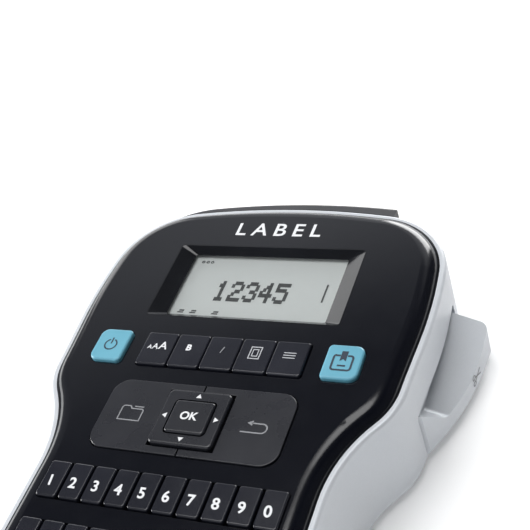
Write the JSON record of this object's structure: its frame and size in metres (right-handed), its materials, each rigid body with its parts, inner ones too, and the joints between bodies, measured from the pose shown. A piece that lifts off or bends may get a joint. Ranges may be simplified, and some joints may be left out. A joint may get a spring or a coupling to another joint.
{
  "type": "handheld label printer",
  "caption": "Handheld thermal label printer with keyboard, small display, drop-in tape cassette and a side thumb lever that cuts the label.",
  "frame": {"origin": "on the flat back, on the left-right centre line of the face, between the nav pad and the digit keys", "axes": "+X to the right of the keyboard, +Y towards the display end, +Z out of the keyboard face"},
  "size_m": [0.1232, 0.2072, 0.0391],
  "materials": {
    "face_black": "satin gloss, finely textured",
    "bezel_grey": "dark satin frame",
    "clear_window": "clear acrylic window",
    "lcd_glass": "pale grey-green liquid crystal panel",
    "inner_plastic": "black moulded plastic",
    "board_green": "green solder mask",
    "membrane_rubber": "grey silicone",
    "silver_case": "silver metallic paint on plastic",
    "dark_grey_door": "dark grey textured plastic",
    "steel": "bright steel",
    "battery_wrap": "printed cell sleeve",
    "contact_plate": "nickel plated",
    "print_head_ceramic": "ceramic heater bar",
    "motor_can": "plain steel can",
    "gear_brass": "turned brass",
    "gear_plastic": "natural acetal",
    "roller_rubber": "ground rubber",
    "cassette_grey": "grey moulded plastic",
    "label_tape_white": "white label tape",
    "blade_steel": "ground edge",
    "key_charcoal": "charcoal satin key caps with white legends",
    "key_blue": "light blue key caps"
  },
  "bodies": {
    "case": {"front_cover": "face_black", "display_bezel": "bezel_grey", "display_window": "clear_window", "lcd_panel": "lcd_glass", "lcd_carrier": "inner_plastic", "main_board": "board_green", "key_membrane": "membrane_rubber", "rear_housing": "silver_case", "hinge_pins": "steel", "batteries": "battery_wrap", "battery_contacts": "contact_plate", "print_chassis": "inner_plastic", "print_head": "print_head_ceramic", "drive_motor": "motor_can", "cassette_shell": "cassette_grey", "label_tape": "label_tape_white", "cutter_pivot_pin": "steel", "cutter_spring": "steel", "case_screws": "steel"},
    "cassette_door": {"cassette_door": "dark_grey_door"},
    "battery_door": {"battery_door": "dark_grey_door"},
    "platen": {"platen_roller": "roller_rubber", "platen_shaft": "steel", "platen_gear": "gear_plastic"},
    "idler": {"idler_gear": "gear_plastic"},
    "motor_rotor": {"motor_pinion": "gear_brass"},
    "ribbon_drive": {"spindle_gear": "gear_plastic", "ribbon_spindle": "inner_plastic", "ribbon_hub": "cassette_grey"},
    "tape_roll": {"tape_roll": "label_tape_white"},
    "cutter_lever": {"cutter_lever": "silver_case"},
    "cutter_slider": {"cutter_slider": "gear_plastic", "cutter_blade": "blade_steel"},
    "digit_key_1": {"digit_key_1": "key_charcoal"},
    "digit_key_2": {"digit_key_2": "key_charcoal"},
    "digit_key_3": {"digit_key_3": "key_charcoal"},
    "digit_key_4": {"digit_key_4": "key_charcoal"},
    "digit_key_5": {"digit_key_5": "key_charcoal"},
    "digit_key_6": {"digit_key_6": "key_charcoal"},
    "digit_key_7": {"digit_key_7": "key_charcoal"},
    "digit_key_8": {"digit_key_8": "key_charcoal"},
    "digit_key_9": {"digit_key_9": "key_charcoal"},
    "digit_key_0": {"digit_key_0": "key_charcoal"},
    "size_key": {"size_key": "key_charcoal"},
    "bold_key": {"bold_key": "key_charcoal"},
    "italic_key": {"italic_key": "key_charcoal"},
    "frame_key": {"frame_key": "key_charcoal"},
    "menu_key": {"menu_key": "key_charcoal"},
    "power_key": {"power_key": "key_blue"},
    "print_key": {"print_key": "key_blue"},
    "ok_key": {"ok_key": "key_charcoal"},
    "memory_key": {"memory_key": "key_charcoal"},
    "back_key": {"back_key": "key_charcoal"},
    "top_row_keys": {"top_row_keys": "key_charcoal"},
    "home_row_keys": {"home_row_keys": "key_charcoal"},
    "bottom_row_keys": {"bottom_row_keys": "key_charcoal"},
    "shift_key": {"shift_key": "key_charcoal"},
    "space_key": {"space_key": "key_charcoal"},
    "control_keys": {"control_keys": "key_charcoal"},
    "nav_pad": {"nav_pad": "key_charcoal"}
  },
  "joints": [
    {"name": "digit_key_1_press", "type": "slide", "parent": "case", "child": "digit_key_1", "axis": [0, 0, -1], "range_m": [0, 0.001], "stiffness_N_per_m": 600},
    {"name": "digit_key_2_press", "type": "slide", "parent": "case", "child": "digit_key_2", "axis": [0, 0, -1], "range_m": [0, 0.001], "stiffness_N_per_m": 600},
    {"name": "digit_key_3_press", "type": "slide", "parent": "case", "child": "digit_key_3", "axis": [0, 0, -1], "range_m": [0, 0.001], "stiffness_N_per_m": 600},
    {"name": "digit_key_4_press", "type": "slide", "parent": "case", "child": "digit_key_4", "axis": [0, 0, -1], "range_m": [0, 0.001], "stiffness_N_per_m": 600},
    {"name": "digit_key_5_press", "type": "slide", "parent": "case", "child": "digit_key_5", "axis": [0, 0, -1], "range_m": [0, 0.001], "stiffness_N_per_m": 600},
    {"name": "digit_key_6_press", "type": "slide", "parent": "case", "child": "digit_key_6", "axis": [0, 0, -1], "range_m": [0, 0.001], "stiffness_N_per_m": 600},
    {"name": "digit_key_7_press", "type": "slide", "parent": "case", "child": "digit_key_7", "axis": [0, 0, -1], "range_m": [0, 0.001], "stiffness_N_per_m": 600},
    {"name": "digit_key_8_press", "type": "slide", "parent": "case", "child": "digit_key_8", "axis": [0, 0, -1], "range_m": [0, 0.001], "stiffness_N_per_m": 600},
    {"name": "digit_key_9_press", "type": "slide", "parent": "case", "child": "digit_key_9", "axis": [0, 0, -1], "range_m": [0, 0.001], "stiffness_N_per_m": 600},
    {"name": "digit_key_0_press", "type": "slide", "parent": "case", "child": "digit_key_0", "axis": [0, 0, -1], "range_m": [0, 0.001], "stiffness_N_per_m": 600},
    {"name": "size_key_press", "type": "slide", "parent": "case", "child": "size_key", "axis": [0, 0, -1], "range_m": [0, 0.001], "stiffness_N_per_m": 600},
    {"name": "bold_key_press", "type": "slide", "parent": "case", "child": "bold_key", "axis": [0, 0, -1], "range_m": [0, 0.001], "stiffness_N_per_m": 600},
    {"name": "italic_key_press", "type": "slide", "parent": "case", "child": "italic_key", "axis": [0, 0, -1], "range_m": [0, 0.001], "stiffness_N_per_m": 600},
    {"name": "frame_key_press", "type": "slide", "parent": "case", "child": "frame_key", "axis": [0, 0, -1], "range_m": [0, 0.001], "stiffness_N_per_m": 600},
    {"name": "menu_key_press", "type": "slide", "parent": "case", "child": "menu_key", "axis": [0, 0, -1], "range_m": [0, 0.001], "stiffness_N_per_m": 600},
    {"name": "power_key_press", "type": "slide", "parent": "case", "child": "power_key", "axis": [0, 0, -1], "range_m": [0, 0.001], "stiffness_N_per_m": 600},
    {"name": "print_key_press", "type": "slide", "parent": "case", "child": "print_key", "axis": [0, 0, -1], "range_m": [0, 0.001], "stiffness_N_per_m": 600},
    {"name": "ok_key_press", "type": "slide", "parent": "case", "child": "ok_key", "axis": [0, 0, -1], "range_m": [0, 0.001], "stiffness_N_per_m": 600},
    {"name": "memory_key_press", "type": "slide", "parent": "case", "child": "memory_key", "axis": [0, 0, -1], "range_m": [0, 0.001], "stiffness_N_per_m": 600},
    {"name": "back_key_press", "type": "slide", "parent": "case", "child": "back_key", "axis": [0, 0, -1], "range_m": [0, 0.001], "stiffness_N_per_m": 600},
    {"name": "top_row_keys_press", "type": "slide", "parent": "case", "child": "top_row_keys", "axis": [0, 0, -1], "range_m": [0, 0.001], "stiffness_N_per_m": 3000},
    {"name": "home_row_keys_press", "type": "slide", "parent": "case", "child": "home_row_keys", "axis": [0, 0, -1], "range_m": [0, 0.001], "stiffness_N_per_m": 3000},
    {"name": "bottom_row_keys_press", "type": "slide", "parent": "case", "child": "bottom_row_keys", "axis": [0, 0, -1], "range_m": [0, 0.001], "stiffness_N_per_m": 3000},
    {"name": "shift_key_press", "type": "slide", "parent": "case", "child": "shift_key", "axis": [0, 0, -1], "range_m": [0, 0.001], "stiffness_N_per_m": 600},
    {"name": "space_key_press", "type": "slide", "parent": "case", "child": "space_key", "axis": [0, 0, -1], "range_m": [0, 0.001], "stiffness_N_per_m": 600},
    {"name": "control_keys_press", "type": "slide", "parent": "case", "child": "control_keys", "axis": [0, 0, -1], "range_m": [0, 0.001], "stiffness_N_per_m": 3000},
    {"name": "nav_pad_tilt", "type": "hinge", "parent": "case", "child": "nav_pad", "pos_m": [0, 0.0111, 0.0339], "axis": [1, 0, 0], "range_deg": [-3, 3], "stiffness_Nm_per_rad": 0.08},
    {"name": "cassette_door_hinge", "type": "hinge", "parent": "case", "child": "cassette_door", "pos_m": [0, 0.023, 0.0032], "axis": [-1, 0, 0], "range_deg": [0, 90]},
    {"name": "battery_door_hinge", "type": "hinge", "parent": "case", "child": "battery_door", "pos_m": [0, -0.076, 0.0032], "axis": [-1, 0, 0], "range_deg": [0, 90]},
    {"name": "platen_turn", "type": "hinge", "parent": "case", "child": "platen", "pos_m": [0.03252, 0.08196, 0.012], "axis": [0, 0, 1], "continuous": true},
    {"name": "idler_turn", "type": "hinge", "parent": "case", "child": "idler", "pos_m": [0.03821, 0.06787, 0.025], "axis": [0, 0, 1], "continuous": true},
    {"name": "motor_turn", "type": "hinge", "parent": "case", "child": "motor_rotor", "pos_m": [0.043, 0.056, 0.025], "axis": [0, 0, 1], "continuous": true},
    {"name": "ribbon_turn", "type": "hinge", "parent": "case", "child": "ribbon_drive", "pos_m": [0.02315, 0.06575, 0.012], "axis": [0, 0, 1], "continuous": true},
    {"name": "tape_roll_turn", "type": "hinge", "parent": "case", "child": "tape_roll", "pos_m": [-0.014, 0.053, 0.012], "axis": [0, 0, 1], "continuous": true},
    {"name": "cutter_lever_press", "type": "hinge", "parent": "case", "child": "cutter_lever", "pos_m": [0.0504, 0.035, 0.0115], "axis": [0, 0, 1], "range_deg": [0, 8], "stiffness_Nm_per_rad": 0.3},
    {"name": "cutter_slide", "type": "slide", "parent": "case", "child": "cutter_slider", "axis": [-1, 0, 0], "range_m": [0, 0.0049], "deforming": ["cutter_spring"]}
  ],
  "couplings": [
    {"joint": "idler_turn", "follows": "platen_turn", "ratio": -0.72727},
    {"joint": "motor_turn", "follows": "platen_turn", "ratio": 1.6},
    {"joint": "ribbon_turn", "follows": "platen_turn", "ratio": 1},
    {"joint": "tape_roll_turn", "follows": "platen_turn", "ratio": 0.2},
    {"joint": "cutter_slide", "follows": "cutter_lever_press", "m_per_rad": 0.034377}
  ]
}
